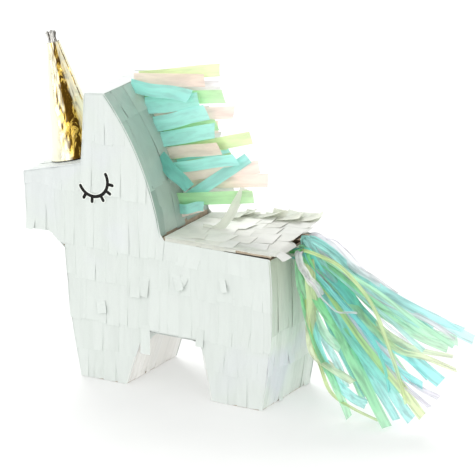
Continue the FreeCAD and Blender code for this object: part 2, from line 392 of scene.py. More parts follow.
def tissue(name, root, tip, dark, fold, pearl_sheen=0.0, glow=0.2, rough=0.5, crinkle=0.35, painted_fold_shade=0.07,
           sheer=0.0, fade=1.0):
    """Thin tissue: colour from root to tip, a shade per strip, folds along each strip, light through it.
    The folds also darken the colour in lines, which is painted shade in the creases, and pale lavender
    patches paint a pearly sheen. Where sheer is given, the paper lets more and more be seen through it
    towards the tip."""
    material, tree = start_material(name)
    shade, along, across = (add(tree, "ShaderNodeAttribute", attribute_name=label).outputs["Fac"]
                            for label in ("shade", "along", "across"))
    strip = add(tree, "ShaderNodeCombineXYZ")
    for value, factor, socket in ((across, fold[0], "X"), (along, fold[1], "Y"), (shade, 91.0, "Z")):
        tree.links.new(times(tree, value, factor), strip.inputs[socket])
    folds = pattern(tree, strip.outputs[0], 1.0, 4.0, 0.55, 0.3)
    place = object_place(tree)
    colour = ramp(tree, along, [(0.05, root), (fade, tip)])
    tone = ramp(tree, shade, [(0.0, dark), (1.0, WHOLE)])
    colour = mixed(tree, 1.0, colour, tone, "MULTIPLY")
    # Painted shade: the colour is darkened along the folds, most in the creases.
    painted_dark = 1.0 - painted_fold_shade
    painted_fold_lines = ramp(tree, folds, [(0.36, (painted_dark, painted_dark, painted_dark)), (0.56, WHOLE)])
    colour = mixed(tree, 1.0, colour, painted_fold_lines, "MULTIPLY")
    # Painted pearly sheen: pale lavender patches mixed into the colour.
    if pearl_sheen:
        sheen_patches = pattern(tree, place, 26.0, 2.0, 0.5, 0.6)
        pearl_sheen_mask = ramp(tree, sheen_patches, [(0.52, NOTHING), (0.68, (pearl_sheen, pearl_sheen, pearl_sheen))])
        colour = mixed(tree, pearl_sheen_mask, colour, PEARL_SHEEN_TINT)
    crease = pattern(tree, place, 520.0, 5.0, 0.6, 0.4)
    normal = bump(tree, mixed(tree, 0.3, folds, crease), crinkle, 0.7 * MM)
    paper = principled(tree, colour, normal, Roughness=rough, Sheen_Weight=0.15)
    through = add(tree, "ShaderNodeBsdfTranslucent")
    tree.links.new(colour, through.inputs["Color"])
    surface = between(tree, glow, paper, through.outputs[0])
    if sheer:
        clear = add(tree, "ShaderNodeBsdfTransparent").outputs[0]
        surface = between(tree, times(tree, along, sheer), surface, clear)
    return finished(material, tree, surface)


def card_material():
    """Grey-brown recycled card: mottled pulp with darker flecks and fibres."""
    material, tree = start_material("card")
    place = object_place(tree)
    pulp = pattern(tree, place, 300.0, 6.0, 0.7)
    colour = ramp(tree, pulp, [(0.3, (0.36, 0.29, 0.21)), (0.7, (0.56, 0.47, 0.36))])
    fleck = pattern(tree, place, 1500.0, 2.0, 0.5)
    spots = ramp(tree, fleck, [(0.26, (0.55, 0.5, 0.45)), (0.34, WHOLE)])
    colour = mixed(tree, 0.8, colour, spots, "MULTIPLY")
    fibres = pattern(tree, object_place(tree, (1.0, 1.0, 5.0)), 900.0, 4.0, 0.6, 0.5)
    normal = bump(tree, fibres, 0.35, 0.3 * MM)
    return finished(material, tree, principled(tree, colour, normal, Roughness=0.86))


def tape_material():
    """Kraft paper tape, a little shiny, with fine ribs across."""
    material, tree = start_material("gummed_tape")
    place = object_place(tree)
    ribs = add(tree, "ShaderNodeTexWave", Scale=900.0, Distortion=1.5, Detail=2.0)
    tree.links.new(place, ribs.inputs["Vector"])
    pulp = pattern(tree, place, 260.0, 5.0, 0.65)
    colour = ramp(tree, pulp, [(0.3, (0.45, 0.32, 0.19)), (0.7, (0.6, 0.46, 0.3))])
    normal = bump(tree, ribs.outputs["Fac"], 0.25, 0.1 * MM)
    return finished(material, tree, principled(tree, colour, normal, Roughness=0.55))


def foil_material(name, bright_reflection, middle, painted_dark, rough, rim):
    """Metallised foil: mirror-like, with long wrinkles. Its colour is painted reflection: dark and pale bands
    that follow the wrinkles and the angle to the eye, and a pale rim where it curves away from the eye."""
    material, tree = start_material(name)
    streak = pattern(tree, object_place(tree, (1.0, 1.0, 0.09)), 260.0, 5.0, 0.65, 0.9)
    facing = add(tree, "ShaderNodeLayerWeight", Blend=0.5).outputs["Facing"]
    # Painted reflection: the darkest, the foil's own and the brightest colour, by the wrinkles and the angle to
    # the eye.
    shift = times(tree, facing, 0.45, streak)
    colour = ramp(tree, shift, [(0.52, painted_dark), (0.585, middle), (0.635, middle), (0.71, bright_reflection)])
    # Painted reflection of pale surroundings where the foil curves away from the eye.
    away = ramp(tree, facing, [(0.04, NOTHING), (0.14, (0.7, 0.7, 0.7)), (0.34, (0.97, 0.97, 0.97))])
    colour = mixed(tree, away, colour, rim)
    fine = pattern(tree, object_place(tree, (1.0, 1.0, 0.35)), 600.0, 3.0, 0.5, 0.6)
    normal = bump(tree, mixed(tree, 0.4, streak, fine), 0.5, 0.8 * MM)
    surface = principled(tree, colour, normal, Roughness=rough, Metallic=1.0)
    return finished(material, tree, surface)


def vinyl_material(name, colour, pale, shine):
    """Printed sticker film: satin, with faint print grain."""
    material, tree = start_material(name)
    grain = pattern(tree, object_place(tree), 2200.0, 2.0, 0.5)
    tint = ramp(tree, grain, [(0.35, colour), (0.65, pale)])
    normal = bump(tree, grain, 0.08, 0.05 * MM)
    surface = principled(tree, tint, normal, Roughness=0.5, Specular_IOR_Level=shine)
    return finished(material, tree, surface)


# How often folds repeat across and along a strip.
SHORT_FOLDS = (2.2, 0.8)
LONG_FOLDS = (3.0, 2.5)
RIBBON_FOLDS = (3.6, 9.0)

# White papers: colour at the root, colour at the tip, and what the darkest strips are multiplied by.
WHITE = tissue("white_tissue", (0.775, 0.82, 0.785), (0.79, 0.835, 0.80), (0.96, 0.965, 0.96),
               SHORT_FOLDS, pearl_sheen=0.15, painted_fold_shade=0.03)
# Inner faces of the legs: a brighter, warmer copy of the white, painted light in the shade under the belly.
INNER_PAINTED_LIGHT = tissue("inner_tissue", (0.93, 0.92, 0.89), (0.95, 0.94, 0.91), (0.95, 0.94, 0.93),
                     SHORT_FOLDS, glow=0.03)
# Lower rump and tail wraps: a brighter copy of the white, painted light on the side that faces away from the key
# light.
RUMP_PAINTED_LIGHT = tissue("rump_tissue", (0.88, 0.94, 0.87), (0.95, 0.985, 0.94), (0.88, 0.90, 0.88),
                    LONG_FOLDS, pearl_sheen=0.5, crinkle=0.8)
# Upper rump: a darker, greener copy of the white, painted shade under the lid with green light thrown off the
# tail.
RUMP_PAINTED_SHADE = tissue("rump_shade_tissue", (0.60, 0.67, 0.54), (0.80, 0.87, 0.78), (0.86, 0.88, 0.86),
                    LONG_FOLDS, pearl_sheen=0.2, crinkle=0.8)
# Back of the neck: white tissue painted grey-green, painted shade under the mane with the green light it throws;
# darkest on the lower neck.
UPPER_NECK_PAINTED_SHADE = tissue("upper_neck_tissue", (0.47, 0.59, 0.515), (0.52, 0.645, 0.57), (0.82, 0.88, 0.87),
                   LONG_FOLDS, rough=0.3, crinkle=0.6)
LOWER_NECK_PAINTED_SHADE = tissue("neck_tissue", (0.44, 0.55, 0.48), (0.50, 0.61, 0.54), (0.76, 0.82, 0.81),
                    LONG_FOLDS, rough=0.3, crinkle=0.6)
LID_DARK = (0.94, 0.93, 0.90)
LID_TUFT = tissue("lid_tuft_tissue", (0.86, 0.89, 0.84), (0.93, 0.95, 0.90), LID_DARK,
                  LONG_FOLDS, glow=0.5, painted_fold_shade=0.05)
# One white for each row of the lid, a little darker towards the tail: painted light on the rows near the neck, in
# its shadow, and painted shade on the rows the key light falls on fully.
LID_LIGHT_AND_SHADE_TONES = (1.0, 1.0, 0.92, 0.83, 0.80)
LID_LIGHT_AND_SHADE_WHITES = [tissue("lid_tissue_%d" % (i + 1), (0.96 * a, 0.985 * a, 0.93 * a), (0.99 * a, a, 0.965 * a),
                     LID_DARK, LONG_FOLDS, glow=0.3, painted_fold_shade=0.06) for i, a in enumerate(LID_LIGHT_AND_SHADE_TONES)]
CARD = card_material()
TAPE = tape_material()
# Foils: brightest painted reflection, the foil's own colour, darkest painted reflection, roughness, and the
# painted pale rim.
GOLD = foil_material("gold_foil", (1.0, 0.92, 0.55), (0.74, 0.50, 0.10), (0.09, 0.045, 0.005), 0.14,
                     (1.0, 0.98, 0.76))
SILVER = foil_material("silver_foil", (0.80, 0.79, 0.76), (0.46, 0.45, 0.42), (0.10, 0.09, 0.08), 0.2,
                       (0.78, 0.77, 0.74))
BLACK = vinyl_material("black_vinyl", (0.006, 0.006, 0.005), (0.012, 0.011, 0.010), 0.15)
CREAM = vinyl_material("sticker_film", (0.78, 0.82, 0.765), (0.81, 0.845, 0.79), 0.3)

# Coloured papers, in the same order of colours.
# Root, tip and darkest colour of each mane paper; the darkest is the painted shade of a strip that folds down.
MANE_COLOURS = {
    # Most tips are a little paler than the roots: painted light towards the free ends.
    "turquoise": ((0.56, 0.97, 0.92), (0.66, 0.99, 0.96), (0.42, 0.68, 0.62)),
    "peach": ((1.0, 0.91, 0.85), (1.0, 0.88, 0.82), (0.97, 0.92, 0.90)),
    "green": ((0.56, 0.90, 0.55), (0.74, 0.95, 0.66), (0.84, 0.94, 0.82)),
    "yellow": ((0.84, 0.94, 0.62), (0.89, 0.97, 0.68), (0.90, 0.94, 0.80)),
    "white": ((0.90, 0.88, 0.88), (0.97, 0.95, 0.95), (0.90, 0.88, 0.92)),
}
# Root, tip and darkest colour of each ribbon paper: roots painted darker and tips paler, painted shade in the
# gathered roots under the lid and painted light where the ribbons hang free.
TAIL_COLOURS = {
    "turquoise": ((0.62, 1.0, 0.94), (0.78, 1.0, 1.0), (0.46, 0.90, 0.89)),
    "green": ((0.46, 0.92, 0.56), (0.80, 1.0, 0.86), (0.60, 0.92, 0.68)),
    "yellow": ((0.84, 0.95, 0.60), (0.97, 1.0, 0.82), (0.82, 0.90, 0.62)),
    "white": ((0.93, 0.90, 0.94), (1.0, 0.98, 1.0), (0.84, 0.80, 0.92)),
}
MANE_PAPER = {c: tissue(c + "_mane", *v, fold=LONG_FOLDS, glow=0.5, crinkle=0.25, painted_fold_shade=0.12, sheer=0.15)
              for c, v in MANE_COLOURS.items()}
TAIL_PAPER = {c: tissue(c + "_ribbon", *v, fold=RIBBON_FOLDS, glow=0.6, rough=0.32, crinkle=0.9, painted_fold_shade=0.3,
                        sheer=0.42, fade=0.8)
              for c, v in TAIL_COLOURS.items()}


# ---- fringed rows
def lifted(length, pieces, base, rise, curl, curl_from):
    """Profile of a hanging strip: (distance down, height off the card), curling near its end."""
    profile = [(0.0, base)]
    step = length / pieces
    for i in range(pieces):
        angle = rise + curl * smooth(curl_from, 1.0, (i + 0.5) / pieces)
        place, height = profile[-1]
        profile.append((place + step * math.cos(angle), height + step * math.sin(angle)))
    return profile


def backing(sheet, put_at, u_range, top, bottom):
    """The unslit tissue behind a row, so that no card shows through its slits."""
    count = max(2, round((u_range[1] - u_range[0]) / MM))
    places = even_steps(*u_range, count)
    spans = []
    for i, u in enumerate(places):
        left, right = places[max(0, i - 1)], places[min(count, i + 1)]
        start = top(left, right)
        spans.append((u, start, max(start, bottom(left, right) - 0.3 * MM)))
    pieces = 8
    sheet.strip(pieces, spans, lambda k, s: put_at(s[0], s[1] + (s[2] - s[1]) * k / pieces, 0.0), 0.5)


def fringe_row(sheet, put_at, u_range, top, bottom, roll, width=5.5 * MM, curl_share=0.03, ragged=1.5):
    """One row of slit tissue. put_at(u, v, h) gives a place; top(a, b) and bottom(a, b) bound a strip."""
    backing(sheet, put_at, u_range, top, bottom)
    count = max(1, round((u_range[1] - u_range[0]) / width))
    cuts = even_steps(*u_range, count)
    for i in range(1, count):
        cuts[i] += roll.uniform(-0.3, 0.3) * width
    pieces, lap, shortest = 10, 0.08 * MM, 1.0 * MM
    for left, right in zip(cuts, cuts[1:]):
        start = top(left, right)
        end = bottom(left, right) - start
        if end < shortest:
            continue
        length = max(shortest, end + roll.uniform(-ragged, ragged * 0.4) * MM)
        swung = roll.random() < 0.15
        skew = roll.gauss(0, 0.8 if swung else 0.10) * MM
        curl = roll.uniform(0.15, 0.6) if roll.random() < curl_share else roll.uniform(0.0, 0.05)
        tilt = roll.gauss(0, 0.06) * MM
        slit_from = roll.uniform(0.25, 0.6)
        nip = (roll.uniform(0.0, 0.22) * MM, roll.uniform(0.0, 0.22) * MM)
        base = roll.uniform(0.08, 0.14) * MM
        profile = lifted(length, pieces, base, roll.uniform(0.002, 0.012), curl, roll.uniform(0.6, 0.82))
        slant = roll.gauss(0, 0.4) * MM

        def place(k, side):
            down, height = profile[k]
            open_share = smooth(slit_from, 1.0, k / pieces)
            first = left - lap + (nip[0] + skew) * open_share
            last = right + lap - (nip[1] - skew) * open_share
            h = height + tilt * (side - 0.5) * 2 * k / pieces + 0.03 * MM * math.sin(math.pi * side)
            edge = slant * (side - 0.5) * smooth(0.8, 1.0, k / pieces)
            return put_at(first + (last - first) * side, start + down + edge, h)

        sheet.strip(pieces, (0.0, 0.33, 0.67, 1.0), place, roll.random())


def card_spans(levels):
    """The stretches along x that the card covers at any of some heights, joined where they meet."""
    spans = []
    for z in levels:
        found = crossings(1, z)
        spans += [list(pair) for pair in zip(found[::2], found[1::2])]
    joined = []
    for a, b in sorted(spans):
        if joined and a < joined[-1][1]:
            joined[-1][1] = max(joined[-1][1], b)
        else:
            joined.append([a, b])
    return joined


def flank_piece(side, part, rows):
    """The slit tissue over one band of the flank, in overlapping rows from the bottom up."""
    name = ("left_" if side < 0 else "right_") + part
    low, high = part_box(name)
    roll, sheet = dice(name), Sheet()
    floor, overlap, spare = 0.15 * MM, 4.0 * MM, 0.75 * MM
    pitch = (high.z - low.z) / rows

    def put_at(u, v, h):
        x, z = kept_on(u, max(-v, floor), spare)
        wave = 0.10 * MM * noise.noise(Vector((x * 90, z * 90, side * 3.0)))
        return Vector((x, side * (CARD_Y + 0.2 * MM + abs(h + wave)), max(z, floor)))

    for row in range(rows):
        row_top = low.z + pitch * (row + 1) + overlap
        row_low = max(low.z + pitch * row, floor)
        middle = (row_top + row_low) / 2
        levels = [z for z in (row_top - overlap, middle, row_low + 0.5 * MM) if z < high.z]
        for a, b in card_spans(levels):
            def stretches(left, right):
                places = (min(max(x, a + MM / 10), b - MM / 10) for x in (left, (left + right) / 2, right))
                return [span for span in (span_near(0, x, middle) for x in places) if span]

            def top(left, right):
                return -min(row_top, max(span[1] for span in stretches(left, right)) + spare)

            def bottom(left, right):
                limit = min(span[0] for span in stretches(left, right))
                hang = 2.5 * MM if limit > 5 * MM else 0.0
                return -max(row_low, limit - hang)

            ragged = 0.2 if row_low < 1 * MM else 1.5
            fringe_row(sheet, put_at, (a - spare, b + spare), top, bottom, roll, ragged=ragged)
    put(sheet.make(name + "_tissue", WHITE, 0.08 * MM), "shell", "white_tissue", name)


def on_path(path, half):
    """A way to put paper on a strip between the flanks, held to its width and off the floor."""
    def put_at(u, v, h):
        place = path.at(v, 0.15 * MM + abs(h))
        return Vector((place.x, max(-half, min(half, u)), max(place.z, 0.35 * MM)))

    return put_at


def edge_piece(node, rows, material, width=5.5 * MM, curl_share=0.06):
    """Slit tissue over one of the strips between the flanks, hanging down along the outline."""
    path = Path(node)
    roll, sheet = dice(node), Sheet()
    half = CARD_Y + 0.55 * MM
    pitch, overlap, hang = path.total / rows, 3.0 * MM, 1.0 * MM
    for row in reversed(range(rows)):
        start, end = max(0.0, pitch * row - overlap), pitch * (row + 1) + hang
        fringe_row(sheet, on_path(path, half), (-half, half), lambda a, b: start, lambda a, b: end, roll,
                   width, curl_share)
    put(sheet.make(node + "_tissue", material, 0.08 * MM), "shell", "white_tissue", node)


def neck_piece(node, hang, material):
    """Long strips of glossier tissue pasted down the back of the neck, each lapping over the last."""
    path = Path(node)
    roll, sheet = dice(node), Sheet()
    half = CARD_Y + 0.6 * MM
    put_at = on_path(path, half)
    backing(sheet, put_at, (-half, half), lambda a, b: 0.0, lambda a, b: path.total + hang * 0.6)
    edge, number, pieces = -half, 0, 16
    while edge < half - 2 * MM:
        width = roll.uniform(6.0, 11.0) * MM
        first, last = max(-half, edge - roll.uniform(0.5, 2.0) * MM), min(half, edge + width)
        start = roll.uniform(-0.5, 1.5) * MM
        length = path.total + hang * roll.uniform(0.5, 1.1) - start
        lean = roll.gauss(0, 0.9) * MM
        layer = (0.12 + 0.16 * (number % 3)) * MM
        buckle = roll.uniform(0.1, 0.35) * MM
        phase = roll.uniform(0, 6)

        def place(k, side):
            t = k / pieces
            ripple = buckle * noise.noise(Vector((side * 2 + phase, t * 2.5, phase)))
            roof = 0.22 * MM * math.sin(math.pi * side)
            return put_at(first + (last - first) * side + lean * t, start + length * t,
                          layer + roof + ripple)

        sheet.strip(pieces, (0.0, 0.12, 0.5, 0.88, 1.0), place, roll.random())
        edge += width
        number += 1
    put(sheet.make(node + "_tissue", material, 0.1 * MM), "shell", "neck_tissue", node)


# Loose strips on the flank, in mm and degrees: x and z of the root, width, length, lift of the tip, lean.
LOOSE_STRIPS = [(-19.0, 54.0, 5.5, 10.0, 0.9, 3), (-13.5, 56.0, 5.0, 11.0, 0.6, -5),
                (3.0, 58.0, 4.5, 7.0, 1.3, 26), (8.5, 59.0, 3.5, 7.5, 1.1, -24),
                (27.0, 61.0, 3.5, 7.0, 1.1, 20), (-38.0, 40.0, 5.0, 7.0, 0.9, 14),
                (-13.6, 35.0, 5.2, 18.0, 0.3, 1), (16.3, 36.0, 4.0, 10.5, 0.3, -4)]


def loose_strips():
    """A few strips of the flanks that have worked loose and stand off at their tips."""
    pieces = 8
    for side, label in ((-1, "left"), (1, "right")):
        roll, sheet = dice(label + " loose strips"), Sheet()
        for x, z, width, length, lift, lean in LOOSE_STRIPS:
            if side > 0:
                x, lean = x + roll.uniform(-6, 6), -lean
            down = Vector((math.sin(math.radians(lean)), -math.cos(math.radians(lean))))
            across = Vector((-down.y, down.x))

            def place(k, share):
                t = k / pieces
                off = 0.15 + 0.6 * smooth(0.0, 0.3, t) + lift * t * t * (1 + 0.4 * share)
                spot = Vector((x, z)) + down * length * t + across * width * share
                return Vector((spot.x, side * (CARD_Y / MM + off), spot.y)) * MM

            sheet.strip(pieces, (-0.5, -0.2, 0.2, 0.5), place, roll.random())
        put(sheet.make(label + "_loose_tissue", WHITE, 0.08 * MM), "shell", "white_tissue")


def white_paper():
    for side in (-1, 1):
        for part in ("leg", "belly", "flank", "throat", "cheek", "crown"):
            flank_piece(side, part + "_fringe", 2 if part == "leg" else 1)
    for node, rows in (("nose_fringe", 1), ("jaw_paper", 1), ("chest_fringe_upper", 2),
                       ("chest_fringe_lower", 2), ("belly_paper", 1), ("forehead_paper", 2),
                       ("crown_paper", 1), ("muzzle_paper", 2)):
        edge_piece(node, rows, WHITE)
    # The inner faces of the legs take the painted light.
    for node in ("front_leg_inner_paper", "rear_leg_inner_paper"):
        edge_piece(node, 1, INNER_PAINTED_LIGHT, width=4.0 * MM)
    # The upper rump takes the painted shade, the lower rump the painted light.
    edge_piece("rump_fringe_upper", 1, RUMP_PAINTED_SHADE, width=5.0 * MM, curl_share=0.1)
    edge_piece("rump_fringe_lower", 2, RUMP_PAINTED_LIGHT, width=5.0 * MM, curl_share=0.15)
    # The neck pieces take the painted shade, darkest on the lower one.
    for part, hang, material in (("lower", 5.2, LOWER_NECK_PAINTED_SHADE), ("middle", 3.0, UPPER_NECK_PAINTED_SHADE),
                                 ("upper", 3.0, UPPER_NECK_PAINTED_SHADE)):
        neck_piece("neck_paper_" + part, hang * MM, material)


# ---- lid
def lid_card():
    """The height of the lid card's upper face, from four places on it, and the card's thickness."""
    mesh = frame["nodes"]["back_lid"].data
    tree = BVHTree.FromPolygons([v.co for v in mesh.vertices], [p.vertices for p in mesh.polygons])

    def met(x, y, side):
        """Height where a ray from above (side 1) or from below (side -1) meets the card."""
        return tree.ray_cast(Vector((x, y, side)), Vector((0, 0, -side)))[0].z

    x0, x1 = lid_low.x + 3 * MM, lid_high.x - 1 * MM
    y0, y1 = lid_low.y + 1 * MM, lid_high.y - 1 * MM
    ends = [[met(x, y, 1) for x in (x0, x1)] for y in (y0, y1)]

    def height(x, y):
        s, t = (x - x0) / (x1 - x0), (y - y0) / (y1 - y0)
        near, far = (a * (1 - s) + b * s for a, b in ends)
        return near * (1 - t) + far * t

    middle = (lid_low.x + lid_high.x) / 2
    return height, met(middle, 0.0, 1) - met(middle, 0.0, -1)


def lid_paper():
    """Rows of slit tissue across the lid, their free ends towards the tail, the last ones curling past it."""
    height, thick = lid_card()
    names = sorted(n for n in frame["nodes"] if n.startswith("lid_fringe_"))
    half = lid_high.y + 0.5 * MM
    far_sheet = Sheet()
    pieces = 10
    for number, node in enumerate(names):
        low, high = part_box(node)
        roll, sheet = dice(node), Sheet()
        last = number == len(names) - 1
        start = low.x - (4.0 * MM if number else 4.8 * MM)
        end = high.x + (4.0 * MM if last else 1.5 * MM)
        layer = 0.10 * MM * (len(names) - number)
        edge = -half - roll.uniform(0.0, 4.0) * MM
        while edge < half - 2 * MM:
            width = min(roll.uniform(6.0, 11.0) * MM, half - edge)
            length = (end - start) + (roll.uniform(-4.0, 4.5) if not last else roll.uniform(-2.0, 2.5)) * MM
            curl = roll.uniform(0.15, 0.8) if last else roll.choice((0.0, 0.0, 0.02, 0.04, 0.06))
            if last and edge < -lid_high.y * 0.35:
                length += 2.5 * MM
                curl = roll.uniform(-1.0, 0.1)
            profile = lifted(length, pieces, layer + roll.uniform(0.05, 0.2) * MM,
                             roll.uniform(0.002, 0.02), curl, roll.uniform(0.6, 0.8))
            far = smooth(half - 11 * MM, half, edge + width / 2)
            skew = roll.gauss(0, 0.9) * MM
            slant = roll.gauss(0, 1.2) * MM
            tilt = roll.gauss(0, 0.15) * MM

            def place(k, side):
                t = k / pieces
                along, lift = profile[k]
                y = edge - 0.15 * MM + (width + 0.3 * MM) * side + skew * smooth(0.35, 1.0, t)
                y = max(-half, min(half, y))
                x = start + along + slant * (side - 0.5) * smooth(0.7, 1.0, t)
                rest = 0.15 * MM + lift + tilt * (side - 0.5) * 2 * t + far * LID_FAR_LIFT * MM * t * t
                return Vector((x, y, height(x, y) + rest + 0.08 * MM * math.sin(math.pi * side) * t))

            (far_sheet if far > 0.2 else sheet).strip(pieces, even_steps(0, 1, 4), place, roll.random())
            edge += width - 0.5 * MM
        put(sheet.make(node + "_tissue", LID_LIGHT_AND_SHADE_WHITES[number], 0.12 * MM), "lid", "white_tissue", node)
    put(far_sheet.make("lid_far_tissue", LID_TUFT, 0.12 * MM), "lid", "white_tissue")
    lid_edges(height, thick)
    lid_curl(height)


def lid_edges(height, thick):
    """Tissue folded over the lid's -Y edge, torn back where the card shows, and standing up at its +Y
    edge."""
    roll, sheet = dice("lid edges"), Sheet()
    over = ((-4.0, -0.1), (-1.5, 0.0), (-0.1, 0.0), (0.25, 0.3), (0.38, 0.65), (0.42, 1.0))
    up = ((-5.0, -0.1), (-3.0, 0.0), (-1.6, 0.25), (-0.6, 0.5), (0.0, 0.75), (0.3, 1.0))
    for side, profile in ((-1, over), (1, up)):
        x = lid_low.x + 2.5 * MM
        while x < lid_high.x + 1.5 * MM:
            wide = roll.uniform(3.0, 8.0) * MM
            last = min(x + wide, lid_high.x + 2.5 * MM)
            bare = side < 0 and LID_BARE[0] * MM < (x + last) / 2 < LID_BARE[1] * MM
            drop = roll.uniform(0.1, 0.35) * MM if bare else thick + roll.uniform(-0.25, 0.2) * MM
            rise = roll.uniform(0.1, 1.0) * LID_FAR_LIFT * MM * smooth(lid_low.x, 0.02, x)
            slant = roll.uniform(-0.5, 0.5)
            lift = roll.uniform(0.55, 0.7) * MM

            def place(k, share):
                out, fall = profile[k]
                column = x - 0.2 * MM + (last - x + 0.4 * MM) * share
                y = side * (lid_high.y + out * MM)
                level = 0.1 * MM * noise.noise(Vector((column * 300, out, side)))
                if side < 0:
                    level += lift * (1 - fall) - drop * max(0.0, fall)
                else:
                    level += lift + rise * max(0.0, fall) * (1 + slant * (share - 0.5))
                return Vector((column, y, height(column, y) + level))

            sheet.strip(len(profile) - 1, even_steps(0, 1, 3), place, roll.random())
            x = last
    put(sheet.make("lid_edge_tissue", LID_TUFT, 0.1 * MM), "lid", "white_tissue")


def lid_curl(height):
    """One loose strip of the lid's tissue that stands up beside the mane, riding the lid."""
    roll, sheet = dice("lid curl"), Sheet()
    foot = Vector((*LID_CURL_FOOT, 0)) * MM
    foot.z = height(foot.x, foot.y) + 0.4 * MM
    onward = Vector((math.sin(LID_CURL_LEAN), 0, math.cos(LID_CURL_LEAN)))
    points = [foot - Vector((7, 0, 0.5)) * MM, foot + Vector((0, 0, 0.3)) * MM]
    points += [foot + onward * LID_CURL_LENGTH * share * MM + Vector((bow * MM, 0, 0))
               for share, bow in ((0.3, 1.6), (0.65, 0.4), (1.0, -0.6))]
    ribbon(sheet, curve_through(points, 26), 4.6 * MM, Vector((0.75, -0.65, 0)), roll, 0.35)
    piece = put(sheet.make("lid_curl_tissue", LID_TUFT, 0.12 * MM), "lid", "white_tissue")
    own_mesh(piece)


# ---- ribbons
def curve_through(points, count):
    """Evenly counted places on a smooth curve through some points."""
    ends = [points[0] * 2 - points[1]] + list(points) + [points[-1] * 2 - points[-2]]
    places = []
    for k in range(count + 1):
        run = k / count * (len(points) - 1)
        i = min(int(run), len(points) - 2)
        t = run - i
        a, b, c, d = ends[i:i + 4]
        places.append((b * 2 + (c - a) * t + (a * 2 - b * 5 + c * 4 - d) * t * t
                       + (b * 3 - a - c * 3 + d) * t ** 3) / 2)
    return places


def ribbon(sheet, places, width, facing, roll, shade, twist=0.0, flutter=0.0, waist=1.0, crease=0.0):
    """A flat ribbon along a run of places; facing is the way its flat side looks at the root."""
    rows = []
    across = None
    phase = roll.uniform(0, 100)
    slant = roll.gauss(0, 0.12) * width
    last = len(places) - 1
    for k, place in enumerate(places):
        t = k / last
        along = (places[min(last, k + 1)] - places[max(0, k - 1)]).normalized()
        turned = Matrix.Rotation(twist * t + flutter * math.sin(5 * t + phase), 3, along) @ facing
        before, across = across, along.cross(turned).normalized()
        if before is not None and across.dot(before) < 0:
            across = -across
        normal = across.cross(along)
        half = width / 2 * (waist + (1 - waist) * smooth(0.0, 0.22, t))
        belly = 0.25 * MM * math.sin(7 * t + phase) + crease * max(0.0, 1 - abs(t - 0.45) / 0.3)
        dish = 0.05 * width * math.sin(4 * t + phase)
        rows.append([place + across * half * share + normal * (belly + dish * (1 - share * share))
                     + along * slant * share * smooth(0.9, 1.0, t) for share in (-1.0, -0.4, 0.4, 1.0)])
    sheet.grid(rows, shade)


def neck_root(z):
    """Place on the back of the neck at a height, outside its paper."""
    span = span_near(1, min(z, panel_high.z - 0.5 * MM), -0.02)
    return Vector((span[1] + PAPER, 0, z))


# Strips of the mane, in mm and degrees: root height, root y, tip y, length, rise, width, crease.
MANE = {
    "turquoise": [(137.6, 0.6, -1.8, 33, 0, 6.2, 0.5), (128.6, 1.4, 0.8, 30, 13, 7.8, 0.3),
                  (120.4, 1.2, -0.6, 31, 20, 7.2, 0.4), (113.8, 0.6, -0.8, 31, 17, 7.0, 0.2),
                  (107.6, -5.0, -8.0, 21, -34, 6.6, 1.8), (101.6, -2.0, -2.6, 38, 15, 5.3, 0.4),
                  (85.0, 0.3, 0.2, 45, 37, 5.6, 0.5), (83.0, -2.6, -3.0, 14, 14, 4.6, 0.3),
                  (131.0, 6.0, 8.0, 27, 8, 6.0, 0.5), (104.0, 6.5, 8.0, 29, 14, 6.0, 0.5)],
    "peach": [(139.4, 4.2, 2.4, 39, 8, 6.0, 0.5), (124.6, 4.4, 4.0, 44, 9, 5.8, 0.6),
              (107.4, 2.2, -0.6, 30, 14, 5.8, 0.2), (94.0, 3.0, 2.8, 48, 9.8, 6.2, 0.5),
              (97.5, 1.6, 1.4, 46, 13.6, 6.4, 0.6), (80.8, -1.0, -1.4, 13, 22, 4.2, 0.2),
              (116.0, 7.0, 8.5, 28, 12, 6.0, 0.4)],
    "green": [(132.2, 4.4, 3.4, 44, 8, 6.4, 0.7), (87.0, -1.4, -1.8, 41, 11, 6.6, 0.2),
              (119.0, 5.0, 4.5, 31, 10, 6.0, 0.5), (110.0, 5.5, 6.0, 30, 10, 6.0, 0.5),
              (92.0, 5.5, 7.0, 31, 14, 6.0, 0.5)],
    "yellow": [(139.6, 8.0, 5.5, 46, 13, 5.8, 0.5), (130.0, 7.5, 9.0, 30, 12, 5.8, 0.5),
               (106.5, 4.8, 4.0, 45, 18.5, 6.0, 0.4), (99.0, 6.0, 7.5, 29, 18, 5.8, 0.4)],
    "white": [(134.8, 6.6, 5.6, 43, 10, 5.4, 0.4), (122.0, 8.0, 9.0, 27, 13, 6.0, 0.4),
              (112.5, 8.5, 9.5, 26, 8, 6.0, 0.4), (88.0, 4.5, 6.0, 27, 9, 6.0, 0.5)],
}

# Height, in mm, between the lower and the upper strips of the mane.
MANE_SPLIT = 103.0


